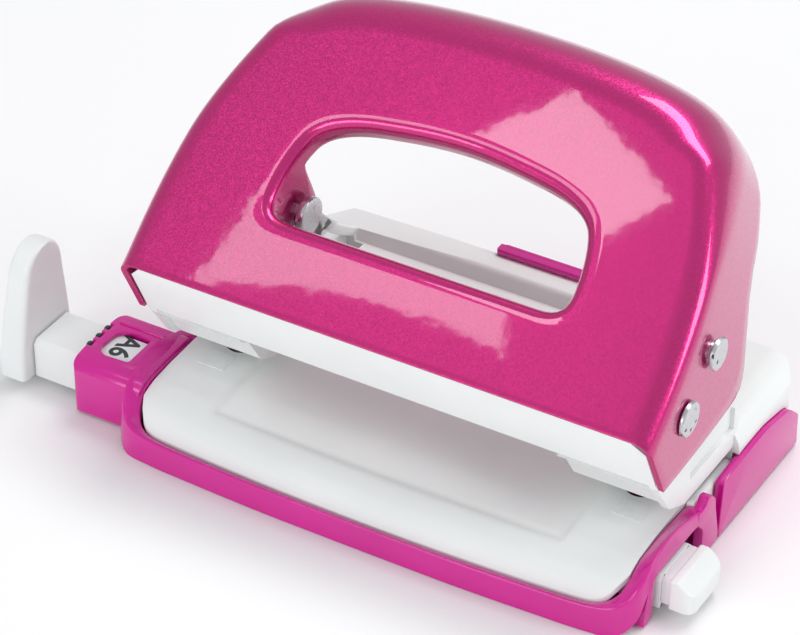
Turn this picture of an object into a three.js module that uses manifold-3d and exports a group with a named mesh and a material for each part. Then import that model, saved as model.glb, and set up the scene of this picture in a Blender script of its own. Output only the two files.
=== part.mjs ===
// Two-hole desk punch: sheet-metal handle, white housing, magenta base with a chip flap and a sliding
// paper guide.
// Millimetres, +Z up, +X to the right, +Y to the rear. The origin is on the table top, at the middle of
// the base's footprint.
import * as THREE from 'three';
import { mergeVertices } from 'three/addons/utils/BufferGeometryUtils.js';
import Module from 'manifold-3d';

const wasm = await Module();
wasm.setup();

// ---------------------------------------------------------------- driving dimensions
const HOLE_SPACING = 80;              // between the two punched holes
const HOLE_MARGIN = 12;               // from a hole's centre to the paper's edge
const GAP = 0.3;                      // between neighbouring pieces
const RUNNING = 0.1;                  // round a pin that turns or slides in its bore

const BASE_HALF = 51.8;               // half width of the magenta base
const BASE_FRONT = -32.6;             // front of the base on its centre line
const HOUSING_REAR = 32.2;            // rear face of the white housing
const FLOOR = 0.4;                    // underside of the base's walls
const PLATE = { z0: 0.7, z1: 1.4 };   // bottom plate
const NOTCH_Y = 1;                    // living hinge between the base and its chip flap

const PANEL_TILT = THREE.MathUtils.degToRad(40);   // handle panel above the horizontal
const NOSE = { y: -26.4, z: 37.6 };   // lower edge of the handle panel
const TIP = { y: -20.1, z: 24.5 };    // front lower corner of the handle's side flange
const HANDLE_HALF = 51.2;             // half width of the handle over its flanges
const SHEET = 1.1;                    // handle sheet thickness
const ROLL = 3.6;                     // radius of the handle's rolled edge

const PIVOT = { y: -13.2, z: 35.1 };  // handle pivot pin
const ACTUATOR = { y: -3.6, z: 42.1 };// pin that drives the punches
const PUNCH_X = HOLE_SPACING / 2;
const PUNCH_Y = -5.2;
const PUNCH_RADIUS = 2.75;
const STOP_Y = PUNCH_Y + HOLE_MARGIN; // the paper's edge comes to rest here

const TABLE_HALF = 48;                // half width of the paper table
const TABLE_TOP = 11.2;
const SLOT_TOP = 13.5;                // ceiling of the paper slot at the punches
const BAR = { y0: -21.8, y1: -10.8, z0: 1.7, z1: 8.3 };     // guide bar section
const STOP_FACE_X = -74;              // the paper stop, set for A6 paper (148 mm wide)
const BAR_END_X = 52.3;
const SCREW_X = 43.4;
const SCREW_YS = [12.8, 27.2];

const COLOURS = {
  metallicPaint: { color: 0xc81e78, roughness: 0.3, metalness: 0.6 },
  magentaPlastic: { color: 0xc8128c, roughness: 0.3, metalness: 0 },
  whitePlastic: { color: 0xe4e7e5, roughness: 0.45, metalness: 0 },
  steel: { color: 0xb9bcbe, roughness: 0.3, metalness: 1 },
  darkRubber: { color: 0x24302b, roughness: 0.8, metalness: 0 },
  label: { color: 0xf1f3f2, roughness: 0.5, metalness: 0 },
};

// ---------------------------------------------------------------- helpers
const group = new THREE.Group();

function toSolid(geometry) {
  geometry.deleteAttribute('normal');
  geometry.deleteAttribute('uv');
  const merged = mergeVertices(geometry, 1e-4);
  const vertProperties = new Float32Array(merged.attributes.position.array);
  const triVerts = new Uint32Array(merged.index.array);
  return new wasm.Manifold(new wasm.Mesh({ numProp: 3, vertProperties, triVerts }));
}

function addPiece(name, solid, look) {
  const { vertProperties, triVerts } = solid.getMesh();
  const geometry = new THREE.BufferGeometry();
  geometry.setAttribute('position', new THREE.BufferAttribute(new Float32Array(vertProperties), 3));
  geometry.setIndex(new THREE.BufferAttribute(new Uint32Array(triVerts), 1));
  geometry.computeVertexNormals();
  const mesh = new THREE.Mesh(geometry, new THREE.MeshStandardMaterial(COLOURS[look]));
  mesh.name = name;
  group.add(mesh);
}

// A closed outline; a point is [a, b] or [a, b, radius], the radius rounding that corner. A radius too
// large for its edges is reduced.
function outline(points) {
  const shape = new THREE.Shape();
  const count = points.length;
  points.forEach(([a, b, radius = 0], i) => {
    const here = new THREE.Vector2(a, b);
    const before = new THREE.Vector2(...points[(i + count - 1) % count].slice(0, 2));
    const after = new THREE.Vector2(...points[(i + 1) % count].slice(0, 2));
    const reach = Math.min(radius, 0.45 * here.distanceTo(before), 0.45 * here.distanceTo(after));
    const from = here.clone().add(before.sub(here).setLength(reach));
    const to = here.clone().add(after.sub(here).setLength(reach));
    if (i === 0) shape.moveTo(from.x, from.y);
    else shape.lineTo(from.x, from.y);
    if (reach > 0) shape.quadraticCurveTo(here.x, here.y, to.x, to.y);
  });
  shape.closePath();
  return shape;
}

function extrude(shape, depth, basis, options = {}) {
  const settings = { depth, bevelEnabled: false, curveSegments: 6, ...options };
  const geometry = new THREE.ExtrudeGeometry(shape, settings);
  return toSolid(geometry.applyMatrix4(basis));
}

const axisX = new THREE.Vector3(1, 0, 0);
const axisY = new THREE.Vector3(0, 1, 0);
const axisZ = new THREE.Vector3(0, 0, 1);

// A side profile given as [y, z] points, running from x0 to x1.
function alongX(points, x0, x1) {
  const basis = new THREE.Matrix4().makeBasis(axisY, axisZ, axisX).setPosition(x0, 0, 0);
  return extrude(outline(points), x1 - x0, basis);
}

// A plan shape standing from z0 to z1.
function standing(shape, z0, z1) {
  return extrude(shape, z1 - z0, new THREE.Matrix4().makeTranslation(0, 0, z0));
}

function upright(points, z0, z1) {
  return standing(outline(points), z0, z1);
}

// A front view given as [x, z] points, running from y0 back to y1.
function alongY(points, y0, y1) {
  const rearwards = new THREE.Vector3(0, -1, 0);
  const basis = new THREE.Matrix4().makeBasis(axisX, axisZ, rearwards).setPosition(0, y1, 0);
  return extrude(outline(points), y1 - y0, basis);
}

function box(x0, x1, y0, y1, z0, z1) {
  const geometry = new THREE.BoxGeometry(x1 - x0, y1 - y0, z1 - z0);
  return toSolid(geometry.translate((x0 + x1) / 2, (y0 + y1) / 2, (z0 + z1) / 2));
}

function discAlongX(y, z, radius, x0, x1, sides = 28) {
  const geometry = new THREE.CylinderGeometry(radius, radius, x1 - x0, sides);
  return toSolid(geometry.rotateZ(Math.PI / 2).translate((x0 + x1) / 2, y, z));
}

function discAlongZ(x, y, radius, z0, z1, sides = 28) {
  const geometry = new THREE.CylinderGeometry(radius, radius, z1 - z0, sides);
  return toSolid(geometry.rotateX(Math.PI / 2).translate(x, y, (z0 + z1) / 2));
}

function mirrored(solid, side) {
  return side < 0 ? solid.mirror([1, 0, 0]) : solid;
}

function join(first, ...rest) {
  return rest.reduce((sum, solid) => sum.add(solid), first);
}

function cut(first, ...rest) {
  return rest.reduce((sum, solid) => sum.subtract(solid), first);
}

const SIDES = [
  { side: -1, label: 'left' },
  { side: 1, label: 'right' },
];

// ---------------------------------------------------------------- handle
// Handle outlines are drawn on the panel: x across, v up the panel from its lower edge. The third
// direction is the depth behind the panel.
function panelBasis(depth) {
  const up = new THREE.Vector3(0, Math.cos(PANEL_TILT), Math.sin(PANEL_TILT));
  const front = new THREE.Vector3(0, -Math.sin(PANEL_TILT), Math.cos(PANEL_TILT));
  const start = new THREE.Vector3(0, NOSE.y, NOSE.z).addScaledVector(front, -depth);
  return new THREE.Matrix4().makeBasis(axisX, up, front).setPosition(start);
}

// The panel's arched outline, drawn inwards of the outer edge by `inset`.
function panelOutline(inset) {
  const w = HANDLE_HALF - inset;
  const top = 62.3 - inset;
  const bottom = -34;
  const shape = new THREE.Shape();
  shape.moveTo(-w, bottom);
  shape.lineTo(w, bottom);
  shape.lineTo(w, 0);
  shape.bezierCurveTo(w, 16, w - 0.9, 33, w - 6.2, top - 15.8);
  shape.bezierCurveTo(w - 8.2, top - 10.7, w - 12.6, top - 6, w - 19.4, top - 3.7);
  shape.bezierCurveTo(w - 27, top - 0.9, 12, top, 0, top);
  shape.bezierCurveTo(-12, top, 27 - w, top - 0.9, 19.4 - w, top - 3.7);
  shape.bezierCurveTo(12.6 - w, top - 6, 8.2 - w, top - 10.7, 6.2 - w, top - 15.8);
  shape.bezierCurveTo(0.9 - w, 33, -w, 16, -w, 0);
  shape.closePath();
  return shape;
}

// The hand opening, drawn inwards of its lip by `inset`.
function openingOutline(inset) {
  const low = 14.1 + inset;
  const high = 38.9 - inset;
  const w = 30.2 - inset;
  const shape = new THREE.Shape();
  shape.moveTo(-w + 6.2, low);
  shape.lineTo(w - 6.2, low);
  shape.bezierCurveTo(w - 2.3, low, w - 0.2, low + 1.8, w, low + 5.3);
  shape.bezierCurveTo(w + 0.1, low + 9.4, w - 0.8, high - 9.7, w - 2.6, high - 6.9);
  shape.bezierCurveTo(w - 4.8, high - 3.6, w - 10, high - 1.9, w - 17, high - 1.1);
  shape.bezierCurveTo(w - 22, high - 0.4, 4, high, 0, high);
  shape.bezierCurveTo(-4, high, 22 - w, high - 0.4, 17 - w, high - 1.1);
  shape.bezierCurveTo(10 - w, high - 1.9, 4.8 - w, high - 3.6, 2.6 - w, high - 6.9);
  shape.bezierCurveTo(0.8 - w, high - 9.7, -w - 0.1, low + 9.4, -w, low + 5.3);
  shape.bezierCurveTo(0.2 - w, low + 1.8, 2.3 - w, low, 6.2 - w, low);
  shape.closePath();
  return shape;
}

function handleBody(inset, firstDepth) {
  const roll = ROLL - inset;
  const reach = 44;
  return extrude(panelOutline(ROLL), reach, panelBasis(firstDepth + reach + roll), {
    bevelEnabled: true,
    bevelThickness: roll,
    bevelSize: roll,
    bevelSegments: 4,
    curveSegments: 7,
  });
}

function openingTube(inset, fromDepth, toDepth) {
  return extrude(openingOutline(inset), toDepth - fromDepth, panelBasis(toDepth));
}

function makeHandleShell() {
  const collarInset = 1.8;
  const lugX = HANDLE_HALF - 22.2;
  const pocket = handleBody(SHEET, SHEET);
  let shell = cut(handleBody(0, 0), pocket);

  // the collar round the hand opening: shallow above and below, deep at both ends to carry the pins
  let collar = openingTube(collarInset - SHEET, SHEET / 2, 26);
  collar = collar.intersect(join(
    openingTube(-1, 0, 4.2),
    box(-40, 1 - lugX, -30, 3, 33, 90),
    box(lugX - 1, 40, -30, 3, 33, 90),
  ));
  shell = join(shell, collar);
  shell = cut(shell, openingTube(collarInset, -2, 30));

  // side view of the handle: everything outside this outline is trimmed away
  const keep = alongX([
    [NOSE.y, NOSE.z],
    [TIP.y, TIP.z, 1.2],
    [8.1, 26.2, 4.5],
    [10.4, 33, 3],
    [16.5, 44.9, 5],
    [26, 52.9, 6],
    [29.9, 59.6, 4],
    [31.6, 66.5],
    [60, 90],
    [-20, 90],
    [NOSE.y - 20, NOSE.z + 8],
  ], -80, 80);
  shell = shell.intersect(keep);

  for (const side of [-1, 1]) {
    const x0 = Math.min(side * 20, side * 60);
    const x1 = Math.max(side * 20, side * 60);
    shell = cut(
      shell,
      discAlongX(PIVOT.y, PIVOT.z, 2.2 + GAP, x0, x1),
      discAlongX(ACTUATOR.y, ACTUATOR.z, 2 + GAP, x0, x1),
    );
  }
  addPiece('handle_shell', shell, 'metallicPaint');
}

function makePins() {
  const outside = HANDLE_HALF + GAP;
  for (const { side, label } of SIDES) {
    const pivot = join(
      discAlongX(PIVOT.y, PIVOT.z, 2.2, 32.4, outside + 0.2),
      discAlongX(PIVOT.y, PIVOT.z, 3.85, outside, outside + 0.9),
      discAlongX(PIVOT.y, PIVOT.z, 3.1, 32.3, 33.3),
    );
    const actuator = join(
      discAlongX(ACTUATOR.y, ACTUATOR.z, 2, 26, outside + 0.2),
      discAlongX(ACTUATOR.y, ACTUATOR.z, 3.5, outside, outside + 0.9),
      discAlongX(ACTUATOR.y, ACTUATOR.z, 3.5, 25.7, 27.3, 32),
    );
    addPiece(`pivot_pin_${label}`, mirrored(pivot, side), 'steel');
    addPiece(`actuator_pin_${label}`, mirrored(actuator, side), 'steel');
  }
}

// ---------------------------------------------------------------- punches and their frames
function makePunches() {
  for (const { side, label } of SIDES) {
    const tipZ = SLOT_TOP + 0.1;
    const pin = discAlongZ(PUNCH_X, PUNCH_Y, PUNCH_RADIUS, tipZ, 35.8);
    const hollow = alongX([
      [PUNCH_Y - 2.2, tipZ - 1],
      [PUNCH_Y + 2.2, tipZ - 1],
      [PUNCH_Y, tipZ + 1.6],
    ], 30, 50);
    addPiece(`punch_pin_${label}`, mirrored(cut(pin, hollow), side), 'steel');

    const block = upright([
      [PUNCH_X - 3.9, -9, 1],
      [PUNCH_X + 3.9, -9, 1],
      [PUNCH_X + 3.9, 2.7, 1],
      [PUNCH_X - 3.9, 2.7, 1],
    ], 32.2, 45.6);
    const slot = alongX([
      [-6.1, ACTUATOR.z - 2.4, 2.2],
      [1.1, ACTUATOR.z - 2.4, 2.2],
      [1.1, ACTUATOR.z + 2.4, 2.2],
      [-6.1, ACTUATOR.z + 2.4, 2.2],
    ], 30, 50);
    const socket = discAlongZ(PUNCH_X, PUNCH_Y, PUNCH_RADIUS + GAP, 31, 36.2);
    addPiece(`punch_head_${label}`, mirrored(cut(block, slot, socket), side), 'steel');
  }
}

// Steel U-frame: two cheeks that carry the pivot pin, on a base that guides the punch.
function makePunchBrackets() {
  const cheek = [
    [-11.8, 16.4],
    [3.5, 16.4],
    [3.5, 21, 2],
    [-8.2, 30, 3],
    [-9.6, 38.8, 2.6],
    [-16.8, 38.8, 2.6],
    [-16.8, 31, 3],
    [-11.8, 23, 3],
  ];
  for (const { side, label } of SIDES) {
    let bracket = join(
      alongX(cheek, 34.2, 35.6),
      alongX(cheek, 44.4, 45.8),
      box(34.2, 45.8, -11.8, 3.5, 16.4, 17.8),
    );
    bracket = cut(
      bracket,
      discAlongX(PIVOT.y, PIVOT.z, 2.2 + RUNNING, 30, 50),
      discAlongZ(PUNCH_X, PUNCH_Y, PUNCH_RADIUS + RUNNING, 15, 20),
    );
    addPiece(`punch_bracket_${label}`, mirrored(bracket, side), 'steel');

    const die = cut(
      box(33.4, 46.6, -9, -1.4, 8.9, TABLE_TOP - 0.2),
      discAlongZ(PUNCH_X, PUNCH_Y, PUNCH_RADIUS + RUNNING, 8, 12),
    );
    addPiece(`die_plate_${label}`, mirrored(die, side), 'steel');
  }
}

// Compression spring round each punch, between the bracket's base and the punch head.
function makePunchSprings() {
  const turns = 7;
  const steps = 84;
  const low = 18.6;
  const high = 31.4;
  const points = [];
  for (let i = 0; i <= steps; i += 1) {
    const angle = (2 * Math.PI * turns * i) / steps;
    points.push(new THREE.Vector3(
      PUNCH_X + 3.7 * Math.cos(angle),
      PUNCH_Y + 3.7 * Math.sin(angle),
      low + ((high - low) * i) / steps,
    ));
  }
  const wire = new THREE.Shape();
  wire.absarc(0, 0, 0.4, 0, 2 * Math.PI);
  for (const { side, label } of SIDES) {
    const geometry = new THREE.ExtrudeGeometry(wire, {
      steps,
      bevelEnabled: false,
      extrudePath: new THREE.CatmullRomCurve3(points),
      curveSegments: 3,
    });
    addPiece(`punch_spring_${label}`, mirrored(toSolid(geometry), side), 'steel');
  }
}

// ---------------------------------------------------------------- white housing
function makeUpperHousing() {
  const half = HANDLE_HALF - SHEET - 0.5;
  const towerInner = 31;

  // strip below the handle's nose
  const strip = alongX([
    [-25.4, 36.6],
    [-19.5, 24, 0.8],
    [-17.2, 23.4],
    [-17.6, 25.4],
    [-22.6, 35.8],
  ], -half, half);
  const sideWall = alongX([
    [-25.2, 36.3],
    [-19.2, 23.6],
    [-14.2, 16.2],
    [-8.5, SLOT_TOP],
    [11, SLOT_TOP],
    [11, 21, 3],
    [-4, 29.4, 6],
    [-21.6, 31.4, 2],
  ], half - 1.5, half);

  // towers over the punches: tapered lip, ceiling of the paper slot, inner side wall
  const lip = alongX([
    [-19.3, 23.5],
    [-16.6, 21.6],
    [-12.8, 15.6, 0.8],
    [-8.5, SLOT_TOP],
    [11, SLOT_TOP],
    [11, 16.1],
    [-12.5, 16.1],
    [-17.4, 23.9],
  ], towerInner, half);
  const innerWall = alongX([
    [-17.4, 23.9],
    [-12.7, 16],
    [11, 16],
    [11, 19, 3],
    [-8, 23, 6],
  ], towerInner, towerInner + 1.4);
  const curvedWall = alongX([
    [4.2, 15.8],
    [30, 15.8],
    [29.2, 16.9, 1],
    [23.4, 20.8, 4],
    [15.9, 27.7, 4],
    [8.6, 32.4, 2],
    [4.2, 32.4, 1],
  ], 35.3, 36.7);

  let housing = join(strip, makeRearBlock(half));
  for (const side of [-1, 1]) {
    for (const part of [sideWall, lip, innerWall, curvedWall]) {
      housing = join(housing, mirrored(part, side));
    }
    // ribs that stop the paper, hanging from the ceiling of the slot
    const stop = box(towerInner, 47.4, STOP_Y, STOP_Y + 1.4, TABLE_TOP + GAP, 14);
    housing = join(housing, mirrored(stop, side));
    // the punch's hole, a bevelled top corner inside the handle's rolled edge, and room for the
    // narrower upper part of the handle's flange when it is pressed
    housing = cut(
      housing,
      discAlongZ(side * PUNCH_X, PUNCH_Y, PUNCH_RADIUS + GAP, 10, 16.3),
      mirrored(box(half - 0.8, half + 1, -7, 9.4, 17.4, 40), side),
      mirrored(alongY([[46.4, 37.4], [50, 33.6], [52, 33.6], [52, 40], [46.4, 40]], -30, -15), side),
    );
  }
  addPiece('upper_housing', housing, 'whitePlastic');
}

// Hollow rear part of the housing, over the chip space.
function makeRearBlock(frontHalf) {
  const upper = BASE_HALF - 1;
  const sideView = [
    [9.6, 2.2],
    [30.8, 2.2],
    [HOUSING_REAR, 6],
    [HOUSING_REAR, 19.6, 1],
    [27, 19.6, 1],
    [26, 16.6],
    [9.6, 16.6],
  ];
  const frontView = [
    [-upper, 2],
    [upper, 2],
    [upper, 14, 1],
    [49, 17.3, 1],
    [46.5, 18.4, 1.5],
    [9, 19.6, 2],
    [-9, 19.6, 2],
    [-46.5, 18.4, 1.5],
    [-49, 17.3, 1],
    [-upper, 14, 1],
  ];
  let block = alongX(sideView, -upper, upper);
  for (const side of [-1, 1]) {
    const shoulder = alongX([
      [9.6, 16.4],
      [27, 16.4],
      [27, 19],
      [9.6, 19.4],
    ], 36, upper);
    block = join(block, mirrored(shoulder, side));
  }
  block = block.intersect(alongY(frontView, 5, 40));
  block = block.intersect(upright([
    [-upper, 5],
    [upper, 5],
    [upper, HOUSING_REAR, 4],
    [-upper, HOUSING_REAR, 4],
  ], 0, 30));

  // the left rear corner slopes away
  block = cut(block, upright([[-38.7, 40], [-38.7, 33], [-45, 24.5], [-60, 24.5], [-60, 40]], 14.3, 30));

  // hollow underneath, and room for the chip flap's wings outside
  block = cut(block, box(-46.6, 46.6, 8, 30.7, 1, 12.9), box(-33, 33, 27.8, 30.7, 10, 18));
  for (const side of [-1, 1]) {
    block = cut(block, mirrored(alongX(wingProfile(GAP), upper - 1.3, 60), side));
  }
  // front edge: the table's side rails pass below
  block = join(block, box(-frontHalf, frontHalf, 9.6, 11, SLOT_TOP, 16.6));
  for (const side of [-1, 1]) {
    for (const y of SCREW_YS) {
      block = join(block, discAlongZ(side * SCREW_X, y, 3, 6.2, 13.6, 20));
      block = cut(block, discAlongZ(side * SCREW_X, y, 1.3 + GAP, 5, 12.6, 12));
    }
  }
  return block;
}

// ---------------------------------------------------------------- magenta base
// Plan of the base, drawn inwards of its outer edge by `inset`: straight sides, bowed front.
function basePlan(inset, rear) {
  const w = BASE_HALF - inset;
  const corner = -30.7 + inset;
  const shape = new THREE.Shape();
  shape.moveTo(-w, rear);
  shape.lineTo(-w, -23.6);
  shape.bezierCurveTo(-w, -27.4, 3.4 - w, corner + 0.3, 8.4 - w, corner);
  shape.quadraticCurveTo(0, 2 * (BASE_FRONT + inset) - corner, w - 8.4, corner);
  shape.bezierCurveTo(w - 3.4, corner + 0.3, w, -27.4, w, -23.6);
  shape.lineTo(w, rear);
  shape.closePath();
  return shape;
}

function makeBottomFrame() {
  const inner = TABLE_HALF + GAP;
  const frontLip = cut(
    standing(basePlan(0, -23.2), FLOOR, 5.6),
    standing(basePlan(1.3, -19), 0, 7),
  );
  const plate = cut(
    standing(basePlan(0.6, NOTCH_Y - 0.15), PLATE.z0, PLATE.z1),
    box(-60, -inner, -30, -8, 0, 2),
    box(inner, 60, -23.1, -5.3, 0, 2),
  );

  // strap over each end of the guide channel, ending in a hook and the hinge notch
  const rim = [
    [-26.4, FLOOR],
    [-26.3, 5, 2],
    [-25, 9.6, 3],
    [-21.5, 12.6, 3],
    [-14.3, 13.1, 5],
    [-7.6, 10.9, 2],
    [-5, 10.6, 1],
    [-3.6, 12.2, 0.8],
    [-0.8, 10.2, 0.6],
    [-0.6, 8],
    [NOTCH_Y - 0.15, 2],
    [NOTCH_Y - 0.15, FLOOR],
  ];
  const band = [
    [-26.6, FLOOR],
    [-26.6, 5.4, 2],
    [-24.7, 8.4, 2],
    [-21.4, 10.4, 2],
    [-15, 11, 3],
    [-8.8, 10.6, 1],
    [-5.3, 9.6],
    [-5.3, FLOOR],
  ];
  const port = [
    [-23.1, -1],
    [-23.1, 7.9, 1],
    [-20.9, 8.8, 1],
    [-8.8, 8.7, 2],
    [-5.3, 6.4, 1],
    [-5.3, -1],
  ];
  const strap = join(alongX(rim, 50, BASE_HALF), alongX(band, inner, 50.2));
  let frame = join(frontLip, plate, cut(strap, alongX(port, 40, 60)));

  // left end: a box round the guide bar, with a window over the format strip
  const boxProfile = [
    [-25.5, FLOOR],
    [-25.5, 10.2, 1.5],
    [-23.5, 11.7, 1],
    [-8.6, 11.7, 1],
    [-8.6, FLOOR],
  ];
  const channel = box(-90, -40, BAR.y0 - 0.5, BAR.y1 + 0.5, BAR.z0 - 0.4, 9.8);
  const window = upright([
    [-60.2, -21.1, 2],
    [-53.8, -21.1, 0.6],
    [-53.8, -13.4, 0.6],
    [-60.2, -13.4, 2],
  ], 9, 13);
  const leftStrap = join(mirrored(strap, -1), alongX(boxProfile, -63, -inner));
  frame = join(frame, cut(leftStrap, channel, window));
  frame = cut(frame, ...footHoles([-24]));
  addPiece('bottom_frame', frame, 'magentaPlastic');
}

// Side view of the chip flap's wings, drawn outwards by `grow`.
function wingProfile(grow) {
  return [
    [NOTCH_Y + 0.15 - grow, FLOOR - grow],
    [NOTCH_Y + 0.15 - grow, 2],
    [2 - grow, 11.2 + grow, 0.6],
    [12, 12.1 + grow, 2],
    [19, 12.1 + grow, 2],
    [27.7, 10.4 + grow, 2],
    [31.7 + grow, 6.8 + grow, 0.8],
    [31.7 + grow, FLOOR - grow],
  ];
}

function makeChipFlap() {
  const rear = HOUSING_REAR + GAP;
  const wing = alongX(wingProfile(0), BASE_HALF - 1.6, BASE_HALF);
  const plate = upright([
    [-BASE_HALF, NOTCH_Y + 0.15],
    [BASE_HALF, NOTCH_Y + 0.15],
    [BASE_HALF, rear + 1, 4],
    [-BASE_HALF, rear + 1, 4],
  ], PLATE.z0, PLATE.z1);
  const rearWall = box(-47, 47, rear, rear + 1, PLATE.z0, 7);
  const tab = alongY([
    [-9, 1],
    [9, 1],
    [9, 20.9, 2],
    [-9, 20.9, 2],
  ], rear, rear + 1);
  let flap = join(plate, rearWall, tab, wing, mirrored(wing, -1));
  flap = cut(flap, ...footHoles([24]));
  addPiece('chip_flap', flap, 'magentaPlastic');
}

// ---------------------------------------------------------------- paper table
function makePaperTable() {
  let table = alongX([
    [-30.9, 2],
    [-30.9, 4.4],
    [-29.4, 6.3, 1],
    [-26.6, 8.6, 1.5],
    [-22.6, 10.4, 2],
    [-15, 11, 3],
    [-8, TABLE_TOP],
    [9.2, TABLE_TOP],
    [9.2, 9.6],
    [-22.8, 9],
    [-27.4, 6.7],
    [-28.6, 4.2],
    [-28.6, 2],
  ], -TABLE_HALF, TABLE_HALF);
  table = table.intersect(standing(basePlan(1.6, 40), 0, 20));

  for (const side of [-1, 1]) {
    const rail = alongX([
      [-0.9, 2],
      [30.2, 2],
      [30.2, 5.8],
      [9.2, 5.8],
      [9.2, 10.5],
      [-0.9, 10.5],
    ], SCREW_X - 3, SCREW_X + 3);
    const dieSeat = box(32, 47.6, -10, -0.4, 7.4, 10);
    const edge = box(TABLE_HALF - 1, 49.6, -4.9, 9.2, 5.5, 10.9);
    table = join(table, mirrored(rail, side), mirrored(dieSeat, side), mirrored(edge, side));
    table = cut(
      table,
      mirrored(box(33.1, 46.9, -9.3, -1.1, 8.6, 12), side),
      discAlongZ(side * PUNCH_X, PUNCH_Y, 3.6, 6, 9, 20),
    );
    for (const y of SCREW_YS) {
      table = cut(
        table,
        discAlongZ(side * SCREW_X, y, 2.3 + GAP, 1, 4, 20),
        discAlongZ(side * SCREW_X, y, 1.3 + GAP, 3, 7, 12),
      );
    }
  }
  // shallow recess between the punches, and one mark in front of each punch
  table = cut(table, box(-34, 34, -23.4, 6, TABLE_TOP - 0.7, TABLE_TOP + 1));
  addPiece('paper_table', table, 'whitePlastic');
}

// ---------------------------------------------------------------- sliding paper guide
function makeGuide() {
  const section = (top) => [
    [BAR.y0, BAR.z0],
    [BAR.y1, BAR.z0],
    [BAR.y1, top - 0.8],
    [BAR.y1 - 0.8, top],
    [BAR.y0 + 0.9, top],
    [BAR.y0, top - 0.9],
  ];
  let bar = join(
    alongX(section(BAR.z1), STOP_FACE_X + GAP, BAR_END_X),
    alongX(section(9.5), STOP_FACE_X + GAP, -63.6),
  );
  const stripSlot = box(-62.3, 23.3, -20.9, -13.6, BAR.z1 - 0.6, BAR.z1 + 1);
  const underside = box(-67, 46, BAR.y0 + 1.4, BAR.y1 - 1.4, BAR.z0 - 1, BAR.z1 - 1.9);
  const tenon = box(-77.2, -70, -19.4, -13.2, 3.4, 7.4);
  const socket = box(46.3, 60, BAR.y0 + 1.4, BAR.y1 - 1.4, BAR.z0 + 0.1, BAR.z1 - 1.9);
  bar = join(cut(bar, stripSlot, underside, socket), tenon);
  addPiece('guide_bar', bar, 'whitePlastic');
  addPiece('format_strip', box(-62, 23, -20.6, -13.9, BAR.z1 - 0.3, BAR.z1 + 0.1), 'label');

  let stop = alongX([
    [-24.8, 1.6, 1],
    [-9.3, 1.6, 1],
    [-9.6, 12, 3],
    [-11, 22.7, 4],
    [-13, 26.8, 2.5],
    [-19, 26.8, 2.5],
    [-21.8, 22.7, 4],
    [-24.4, 12, 3],
  ], -79.6, STOP_FACE_X);
  stop = cut(stop, box(-77.5, -70, -19.7, -12.9, 3.1, 7.7));
  addPiece('paper_stop', stop, 'whitePlastic');

  const cap = join(
    alongX([
      [-22.3, 1.7, 1],
      [-10.2, 1.7, 1],
      [-10.2, 8.3, 1],
      [-22.3, 8.3, 1],
    ], 53.6, 58.4),
    box(BAR_END_X + GAP, 54, BAR.y0 + 0.4, BAR.y1 - 0.4, BAR.z0 + 0.2, BAR.z1 - 0.3),
    box(46.6, 54, BAR.y0 + 1.7, BAR.y1 - 1.7, BAR.z0 + 0.4, BAR.z1 - 2.2),
  );
  const facet = alongY([[55.4, 9.5], [58.6, 4.4], [60, 9.5]], -30, 0);
  addPiece('guide_end_cap', cut(cap, facet), 'whitePlastic');
}

// ---------------------------------------------------------------- screws and feet
const FOOT_X = 40;

function footHoles(ys) {
  return ys.flatMap((y) => [-1, 1].map((side) => (
    discAlongZ(side * FOOT_X, y, 1.6 + GAP, 0, 3, 16)
  )));
}

function makeScrewsAndFeet() {
  for (const { side, label } of SIDES) {
    SCREW_YS.forEach((y, i) => {
      const head = discAlongZ(side * SCREW_X, y, 2.3, 2.1, 3.7, 20);
      const slot = box(side * SCREW_X - 3, side * SCREW_X + 3, y - 0.4, y + 0.4, 1, 2.8);
      const shank = discAlongZ(side * SCREW_X, y, 1.3, 3.5, 12, 16);
      addPiece(`screw_${i === 0 ? 'front' : 'rear'}_${label}`, join(cut(head, slot), shank), 'steel');
    });
    [[-24, 'front'], [24, 'rear']].forEach(([y, place]) => {
      const foot = join(
        discAlongZ(side * FOOT_X, y, 4.2, 0, FLOOR, 24),
        discAlongZ(side * FOOT_X, y, 1.6, 0.2, PLATE.z1 + 0.2, 16),
      );
      addPiece(`foot_${place}_${label}`, foot, 'darkRubber');
    });
  }
}

makeHandleShell();
makePins();
makePunches();
makePunchBrackets();
makePunchSprings();
makeUpperHousing();
makeBottomFrame();
makeChipFlap();
makePaperTable();
makeGuide();
makeScrewsAndFeet();

export default group;
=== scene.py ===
"""Looks of a small two-hole desk punch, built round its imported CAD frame. Metres, +Z up, +Y to the rear."""

import math

import bmesh
import bpy
from mathutils import Matrix, Vector


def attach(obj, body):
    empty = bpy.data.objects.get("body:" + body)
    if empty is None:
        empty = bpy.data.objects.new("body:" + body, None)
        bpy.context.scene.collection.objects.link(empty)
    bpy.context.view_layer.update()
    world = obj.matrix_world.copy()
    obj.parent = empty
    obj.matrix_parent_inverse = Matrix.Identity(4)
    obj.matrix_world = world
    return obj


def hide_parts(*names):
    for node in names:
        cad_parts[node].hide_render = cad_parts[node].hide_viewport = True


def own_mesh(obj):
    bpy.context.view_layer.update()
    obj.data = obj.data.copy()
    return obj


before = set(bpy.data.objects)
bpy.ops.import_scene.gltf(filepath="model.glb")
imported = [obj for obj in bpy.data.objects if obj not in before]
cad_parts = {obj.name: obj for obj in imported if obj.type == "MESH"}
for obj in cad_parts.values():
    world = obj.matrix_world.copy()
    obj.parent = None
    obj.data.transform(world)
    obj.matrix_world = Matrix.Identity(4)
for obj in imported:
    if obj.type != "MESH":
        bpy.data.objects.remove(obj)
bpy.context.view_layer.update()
MM = 0.001

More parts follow.
